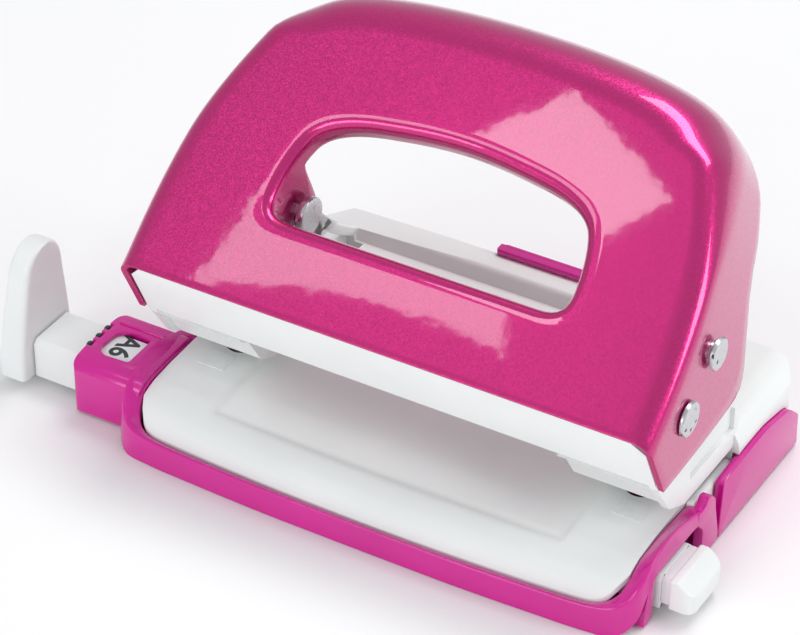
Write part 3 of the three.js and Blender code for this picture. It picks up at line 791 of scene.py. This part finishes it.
# ---------------------------------------------------------------- magenta frame
def frame_band():
    """The band round the table: stations along the base's edge, each a section from the inner foot over
    the top to the outer foot."""
    # inner foot, inner top, crest in, crest out, outer top, outer foot: (x, y, z) each
    side = [
        # rear end of the strap
        [(48.3, -5.0, 8.9), (48.3, -5.0, 9.6), (48.7, -5.0, 10.3),
         (50.6, -5.0, 10.6), (51.6, -5.0, 10.5), (51.8, -5.0, 8.6)],
        [(48.3, -9.5, 8.9), (48.3, -9.5, 10.1), (48.7, -9.5, 10.7),
         (50.8, -9.5, 11.7), (51.6, -9.5, 11.6), (51.8, -9.5, 9.0)],
        [(48.3, -14.3, 8.9), (48.3, -14.3, 10.5), (48.7, -14.3, 11.0),
         (50.9, -14.3, 12.8), (51.6, -14.3, 12.8), (51.8, -14.3, 9.0)],
        [(48.3, -18.0, 8.9), (48.3, -18.0, 10.3), (48.7, -18.2, 10.9),
         (50.9, -18.6, 12.9), (51.6, -18.7, 12.9), (51.8, -18.4, 9.0)],
        [(48.3, -21.3, 8.4), (48.3, -21.6, 9.9), (48.6, -22.2, 10.3),
         (50.7, -23.0, 11.7), (51.5, -23.2, 11.6), (51.8, -22.4, 8.8)],
        [(48.3, -24.0, 6.6), (48.2, -24.7, 8.2), (48.4, -25.4, 8.5),
         (50.3, -26.2, 9.4), (51.2, -26.3, 9.1), (51.7, -25.2, 6.6)],
        [(47.6, -26.0, 4.2), (47.3, -26.8, 6.0), (47.5, -27.6, 6.4),
         (49.2, -28.4, 6.9), (50.2, -28.4, 6.4), (51.1, -27.8, 2.6)],
        [(45.9, -28.0, 3.2), (45.5, -28.7, 5.0), (45.6, -29.3, 5.5),
         (46.7, -30.1, 5.7), (47.5, -30.4, 5.0), (48.4, -30.5, 0.2)],
        [(42.0, -29.3, 3.0), (41.9, -30.0, 4.7), (42.0, -30.4, 5.1),
         (42.3, -31.0, 5.3), (42.6, -31.4, 4.5), (43.1, -31.5, 0.1)],
        [(34.0, -29.9, 3.0), (34.0, -30.6, 4.6), (34.0, -31.0, 5.0),
         (34.0, -31.5, 5.2), (34.1, -31.9, 4.4), (34.1, -32.0, 0.1)],
        [(20.0, -30.5, 3.0), (20.0, -31.2, 4.6), (20.0, -31.6, 5.0),
         (20.0, -32.1, 5.2), (20.0, -32.5, 4.4), (20.0, -32.5, 0.1)],
        [(7.0, -30.8, 3.0), (7.0, -31.5, 4.6), (7.0, -31.8, 5.0),
         (7.0, -32.3, 5.2), (7.0, -32.6, 4.4), (7.0, -32.6, 0.1)],
    ]
    mirror = [[(-x, y, z) for x, y, z in ring] for ring in reversed(side)]
    return side + mirror


def make_frame():
    stations = [[c for p in ring for c in p] for ring in frame_band()]
    path = spline(stations, 8)
    rings = []
    for flat in path:
        points = [flat[i:i + 3] for i in range(0, len(flat), 3)]
        across = spline([list(p) for p in points], 5)
        inner, outer = across[0], across[-1]
        # close the section underneath
        low = min(outer[2], inner[2])
        under = [
            [outer[0] + (inner[0] - outer[0]) * t, outer[1] + (inner[1] - outer[1]) * t, low]
            for t in (0.25, 0.75)
        ]
        rings.append([tuple(p) for p in across + under])
    loft("frame_band", rings, MAGENTA, "base", replaced=("bottom_frame",), slot="magenta_plastic", smooth=60)

    for sign, side in SIDES:
        # leg in front of the guide's port, and the wall behind it with its hook and notch
        leg = prism(f"frame_leg_{side}", rounded([
            (-26.3, 0.4), (-25.9, 3.6), (-24.6, 8.2), (-22.6, 10.2), (-22.0, 9.0), (-23.1, 7.6), (-23.1, 0.4),
        ], 0.25), "x", *sorted((sign * 50.0, sign * 51.75)), MAGENTA, "base", slot="magenta_plastic")
        bevel(leg, 0.3, 3)
        wall = prism(f"frame_wall_{side}", rounded([
            (-5.3, 0.4), (-5.3, 6.6, 0.6), (-7.6, 9.0, 1.5), (-7.2, 11.3, 1.0), (-5.4, 10.7, 0.8),
            (-4.4, 11.5, 0.5), (-3.7, 12.5, 0.5), (-2.4, 12.1, 0.4), (-0.9, 10.4, 0.4), (-0.6, 8.2),
            (0.85, 2.0), (0.85, 0.4),
        ], 0.2), "x", *sorted((sign * 50.0, sign * 51.8)), MAGENTA, "base", slot="magenta_plastic")
        bevel(wall, 0.28, 3)
    floor = prism("frame_floor", rounded([
        (-47.6, -24), (-44, -29.6, 5), (44, -29.6, 5), (47.6, -24), (47.6, -5.2),
        (51.2, -5.2), (51.2, 0.85), (-51.2, 0.85), (-51.2, -5.2), (-47.6, -5.2),
    ], 0.3), "z", 0.7, 1.4, MAGENTA, "base", slot="magenta_plastic")
    bevel(floor, 0.1, 2)


make_frame()


# ---------------------------------------------------------------- window box on the left
BOX_LEFT, BOX_RIGHT = -63.0, -48.6
BOX_FRONT, BOX_REAR = -25.5, -8.6
GRIPS = [-19.4 + 2.75 * k for k in range(3)]          # y of each grip notch and its dot


def corner_tool(y, radius, rear):
    """What to cut off the box's left end to round one of its corners, seen from above."""
    start = 90 if rear else 180
    inward, beyond = (-1, y + 1) if rear else (1, y - 1)
    middle = Vector((BOX_LEFT + radius, y + inward * radius))
    turn = [math.radians(start + 90 * k / 8) for k in range(9)]
    arc = [middle + Vector((math.cos(a), math.sin(a))) * radius for a in turn]
    first, last, left = arc[0], arc[-1], BOX_LEFT - 1
    if rear:
        outside = [(left, last.y), (left, beyond), (first.x, beyond)]
    else:
        outside = [(last.x, beyond), (left, beyond), (left, first.y)]
    return tool_prism([(p.x, p.y) for p in arc] + outside, "z", -1, 14)


def make_window_box():
    """Box that the guide slides through, with the window on its top and grip notches on its left edge."""
    section = rounded([
        (BOX_FRONT, 0.45, 0.8), (BOX_FRONT, 9.6, 1.6), (-23.9, 11.2, 1.6), (-20.6, 11.75, 1.6),
        (-12.0, 11.75, 1.2), (BOX_REAR, 11.5, 1.0), (BOX_REAR, 0.45, 0.6),
    ], 0.5, 5)
    box = prism("window_box", section, "x", BOX_LEFT, BOX_RIGHT, MAGENTA, "base", slot="magenta_plastic")
    carve(box, corner_tool(BOX_REAR, 2.6, True))
    carve(box, corner_tool(BOX_FRONT, 1.4, False))
    bevel(box, 0.8, 4, angle=40)
    channel = tool_box(-90, -40, -22.3, -10.3, 1.3, 9.9)
    card_channel = tool_box(-90, -52.6, -21.3, -13.2, 9, 11.05)
    window = tool_prism(rounded([
        (-59.0, -21.3, 1.4), (-53.6, -21.0, 0.7), (-53.7, -13.5, 0.7), (-57.6, -13.2, 1.2),
        (-60.3, -14.4, 2.2), (-60.6, -19.6, 2.2),
    ], 0.8, 6), "z", 9, 13)
    turn = [2 * math.pi * i / 20 for i in range(20)]
    notches = [
        tool_prism([(y + 0.95 * math.cos(a), 11.9 + 0.95 * math.sin(a)) for a in turn], "x", -64, -62.1)
        for y in GRIPS
    ]
    # line between the box and the frame's strap
    groove = tool_box(-51.0, -50.7, -26, -8, 11.45, 13)
    carve(box, channel)
    carve(box, card_channel)
    carve(box, window, *notches, groove)
    bevel(box, 0.12, 2, angle=50)
    # raised ridge behind the window
    ridge = prism("window_ridge", rounded([
        (-12.2, 11.5), (-12.2, 12.05, 0.25), (-11.2, 12.05, 0.25), (-11.2, 11.5),
    ], 0.1), "x", -61.5, -52.2, MAGENTA, "base", slot="magenta_plastic")
    bevel(ridge, 0.15, 2)
    # dark dot under each notch, painted shade standing in for the shadow inside the notch, in rings of
    # latitude from its low pole to its high one
    turn = [2 * math.pi * i / 20 for i in range(20)]
    for k, y in enumerate(GRIPS):
        rings = []
        for i in range(13):
            polar = math.pi * i / 12
            across, height = 0.85 * math.sin(polar), 10.9 - 0.85 * math.cos(polar)
            rings.append([
                (BOX_LEFT + 0.75 * across * math.cos(a), y + across * math.sin(a), height) for a in turn
            ])
        loft(f"notch_shade_dot_{k + 1}", rings, NOTCH_SHADE, "base", capped=False, slot="magenta_plastic")


make_window_box()


# ---------------------------------------------------------------- chip flap
def make_flap():
    """Chip flap: side wings, bottom plate, and a rear wall with its pull tab and the tab's lip."""
    wing_line = rounded([
        (1.15, 0.4), (1.15, 2.0), (2.1, 11.3, 0.5), (4.0, 11.7, 2), (12, 12.15, 3), (18.8, 12.15, 1.5),
        (27.7, 10.5, 1.5), (31.7, 6.9, 0.6), (31.9, 0.4, 0.4),
    ], 0.2, 6)
    for sign, side in SIDES:
        wing = prism(f"flap_wing_{side}", wing_line, "x", *sorted((sign * 50.15, sign * 51.8)),
                     MAGENTA, "chip_flap", slot="magenta_plastic")
        bevel(wing, 0.35, 3)
    plate = prism("flap_plate", rounded([
        (-51.6, 1.15), (51.6, 1.15), (51.6, 33.2, 3.5), (-51.6, 33.2, 3.5),
    ], 0.2, 6), "z", 0.7, 1.4, MAGENTA, "chip_flap", slot="magenta_plastic")
    bevel(plate, 0.15, 2)
    rear = prism("flap_rear_wall", rounded([
        (-47, 0.8, 0.4), (47, 0.8, 0.4), (47, 6.6, 1.0), (9.0, 6.6, 1.6), (9.0, 20.2, 1.2), (8.0, 20.9, 0.8),
        (-8.0, 20.9, 0.8), (-9.0, 20.2, 1.2), (-9.0, 6.6, 1.6), (-47, 6.6, 1.0),
    ], 0.3, 5), "y", 32.5, 33.5, MAGENTA, "chip_flap", replaced=("chip_flap",), slot="magenta_plastic")
    bevel(rear, 0.28, 3)
    lip = prism("flap_tab_lip", rounded([
        (-9.0, 31.0, 1.5), (9.0, 31.0, 1.5), (9.0, 33.35, 0.4), (-9.0, 33.35, 0.4),
    ], 0.3, 6), "z", 19.6, 20.85, MAGENTA, "chip_flap", slot="magenta_plastic")
    bevel(lip, 0.3, 3)


make_flap()


# ---------------------------------------------------------------- paper guide
refined("guide_bar", "guide_rail", GUIDE_WHITE, "guide", 0.35, 3, "guide_plastic")


STOP_FACE = -74.0


def make_stop():
    """Paper stop: a fin that narrows and thins upward to a rounded top."""
    stations = [
        # front y, rear y, outer x, z
        [-24.8, -9.3, -79.6, 1.7], [-24.6, -9.4, -79.6, 6], [-23.6, -10.0, -79.3, 13],
        [-22.4, -10.7, -78.9, 19], [-21.6, -11.1, -78.7, 22.7], [-20.5, -12.0, -78.5, 24.9],
        [-18.9, -13.3, -78.4, 26.2], [-17.2, -14.6, -78.3, 26.75],
    ]
    rings = []
    for y0, y1, x0, z in spline(stations, 4):
        ring = rounded([(x0, y0), (STOP_FACE, y0), (STOP_FACE, y1), (x0, y1)], 1.3, 5)
        rings.append([(q.x, q.y, z) for q in ring])
    stop = loft("stop_fin", rings, GUIDE_WHITE, "guide", replaced=("paper_stop",),
                slot="guide_plastic", smooth=60)
    bevel(stop, 0.35, 3, angle=50, smooth=60)


make_stop()


def make_cap():
    """End cap: a block with a round outer end and a sloping D-shaped facet, on a stepped neck."""
    cap = prism("guide_cap", rounded([
        (53.9, -22.0, 0.5), (58.4, -22.0, 4.4), (58.4, -10.5, 4.4), (53.9, -10.5, 0.5),
    ], 0.4, 10), "z", 2.3, 8.3, GUIDE_WHITE, "guide", replaced=("guide_end_cap",), slot="guide_plastic")
    facet = tool_prism([(55.0, 8.8), (60, 4.6), (60, 12), (55.0, 12)], "y", -24, -8)
    carve(cap, facet)
    bevel(cap, 0.4, 4, angle=24)
    neck = prism("guide_cap_neck", rounded([
        (-21.5, 2.4), (-11.0, 2.4), (-11.0, 8.0), (-21.5, 8.0),
    ], 0.8, 4), "x", 52.35, 54.2, GUIDE_WHITE, "guide", slot="guide_plastic")
    bevel(neck, 0.15, 2)


make_cap()


# ---------------------------------------------------------------- format strip and its mark
CARD_TOP = 10.9


def make_card():
    """Format strip on the bar, raised to just under the window where the format in use shows."""
    card = prism("format_card", rounded([
        (-62, 8.35), (-62, CARD_TOP, 0.3), (-53.2, CARD_TOP, 0.3), (-52.9, 8.4), (23, 8.4), (23, 8.35),
    ], 0.02, 4), "y", -20.6, -13.9, LABEL, "guide", replaced=("format_strip",), slot="format_label")
    bevel(card, 0.05, 2, angle=50)


make_card()


def make_mark():
    """The paper format shown in the window, read from the right-hand side. In metres."""
    curve = bpy.data.curves.new("format_mark", "FONT")
    curve.body = "A6"
    curve.size = 0.0056
    curve.extrude = 0.00004
    curve.offset = 0.00011
    curve.align_x = "CENTER"
    curve.align_y = "CENTER"
    text = bpy.data.objects.new("format_mark_text", curve)
    bpy.context.scene.collection.objects.link(text)
    text.location = (-0.0574, -0.0167, (CARD_TOP + 0.02) * MM)
    text.rotation_euler = (0, 0, math.radians(-90))
    bpy.context.view_layer.update()
    mesh = bpy.data.meshes.new_from_object(text.evaluated_get(bpy.context.evaluated_depsgraph_get()))
    mesh.transform(text.matrix_world)
    bpy.data.objects.remove(text)
    bpy.data.curves.remove(curve)
    mark = bpy.data.objects.new("format_mark", mesh)
    bpy.context.scene.collection.objects.link(mark)
    mesh.materials.clear()
    mesh.materials.append(PRINT)
    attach(mark, "guide")


make_mark()


# ---------------------------------------------------------------- hidden mechanism, screws and feet
def dress(node, material):
    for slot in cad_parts[node].material_slots:
        slot.material = material


for _, side in SIDES:
    dress(f"punch_pin_{side}", STEEL)
    dress(f"punch_head_{side}", STEEL)
    dress(f"punch_bracket_{side}", STEEL)
    for end in ("front", "rear"):
        dress(f"screw_{end}_{side}", SCREW)
        dress(f"foot_{end}_{side}", RUBBER)


SPRING_LOW, SPRING_HIGH = 18.2, 31.75       # the wire's outside, at rest
SPRING_RADIUS, WIRE_RADIUS = 3.7, 0.4
SPRING_TURNS, CLOSED_RISE = 7, 0.9


def make_return_spring(side, sign):
    """Coil round a punch with its end turns closed, built at its length at rest."""
    steps = 48 * SPRING_TURNS
    travel = SPRING_HIGH - SPRING_LOW - 2 * WIRE_RADIUS
    pitch = (travel - 2 * CLOSED_RISE) / (SPRING_TURNS - 2)
    rings = []
    for i in range(steps + 1):
        turn = SPRING_TURNS * i / steps
        angle = 2 * math.pi * turn
        rise = CLOSED_RISE * (min(turn, 1) + max(turn - SPRING_TURNS + 1, 0))
        rise += pitch * min(max(turn - 1, 0), SPRING_TURNS - 2)
        outward = Vector((math.cos(angle), math.sin(angle), 0))
        slope = pitch / (2 * math.pi * SPRING_RADIUS)
        along = Vector((-outward.y, outward.x, slope)).normalized()
        across = outward.cross(along)
        centre = Vector((sign * DIE_X, DIE_Y, SPRING_LOW + WIRE_RADIUS + rise)) + outward * SPRING_RADIUS
        rings.append([
            centre + WIRE_RADIUS * (math.cos(a) * outward + math.sin(a) * across)
            for a in (2 * math.pi * k / 10 for k in range(10))
        ])
    spring = loft(f"return_spring_{side}", rings, WIRE, "base",
                  replaced=(f"punch_spring_{side}",), slot="punch_steel", smooth=50)
    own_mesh(spring)


for sign, side in SIDES:
    make_return_spring(side, sign)


# ---------------------------------------------------------------- stage, light and camera
def make_floor():
    bm = bmesh.new()
    bmesh.ops.create_grid(bm, x_segments=2, y_segments=2, size=3.0)
    mesh = bpy.data.meshes.new("floor")
    bm.to_mesh(mesh)
    bm.free()
    floor = bpy.data.objects.new("floor", mesh)
    bpy.context.scene.collection.objects.link(floor)
    n = Nodes("floor_white")
    n.set(Base_Color=(0.9, 0.9, 0.9, 1), Roughness=0.9)
    mesh.materials.append(n.material)


def area_light(name, location, target, width, height, power):
    data = bpy.data.lights.new(name, "AREA")
    data.shape = "RECTANGLE"
    data.size, data.size_y, data.energy = width, height, power
    light = bpy.data.objects.new(name, data)
    light.location = location
    light.rotation_euler = (Vector(target) - Vector(location)).to_track_quat("-Z", "Y").to_euler()
    bpy.context.scene.collection.objects.link(light)
    return light


def make_camera():
    data = bpy.data.cameras.new("camera")
    data.sensor_width = 36
    data.lens = 157.7115
    camera = bpy.data.objects.new("camera", data)
    camera.location = (0.2415, -0.4233, 0.3783)
    camera.rotation_euler = (math.radians(90 - 35.702), 0, math.radians(30.762))
    bpy.context.scene.collection.objects.link(camera)
    bpy.context.scene.camera = camera


make_floor()
bpy.context.scene.view_settings.view_transform = "Standard"
world = bpy.data.worlds.new("studio")
world.use_nodes = True
world.node_tree.nodes["Background"].inputs["Color"].default_value = (0.95, 0.96, 1, 1)
world.node_tree.nodes["Background"].inputs["Strength"].default_value = 0.57
bpy.context.scene.world = world
# Two soft lights that the handle's flat panel mirrors as pale patches. SPOT is where the panel's mirror
# direction leads, ACROSS and ALONG span the plane there, and each patch is placed by its offsets in it.
SPOT = Vector((-0.2924, -0.3010, 0.6229))
ACROSS = Vector((-0.711, 0.703, 0))
ALONG = Vector((0.565, 0.572, 0.594))
HANDLE_MIDDLE = (0, -0.005, 0.06)


def patch_light(name, across, along, width, height, turn, radiance):
    """A light in that plane, turned in it by so many degrees."""
    place = SPOT + ACROSS * across + ALONG * along
    light = area_light(name, place, HANDLE_MIDDLE, width, height, radiance * math.pi * width * height)
    facing = Matrix((-ACROSS, ALONG, ALONG.cross(ACROSS))).transposed()
    light.rotation_euler = (facing @ Matrix.Rotation(math.radians(turn), 3, "Z")).to_euler()


patch_light("patch_right", -0.022, 0.055, 0.080, 0.060, 0, 6.5)
patch_light("patch_left", -0.019, -0.052, 0.122, 0.043, 39, 4.9)
area_light("right", (0.7, 0.1, 0.35), (0, 0, 0.03), 0.22, 0.3, 1.2)
area_light("top", (0.12, 0.35, 0.8), (0, 0, 0.03), 0.6, 0.3, 3.4)
area_light("front", (-0.1, -0.8, 0.3), (0, 0, 0.02), 0.6, 0.3, 2.3)
make_camera()
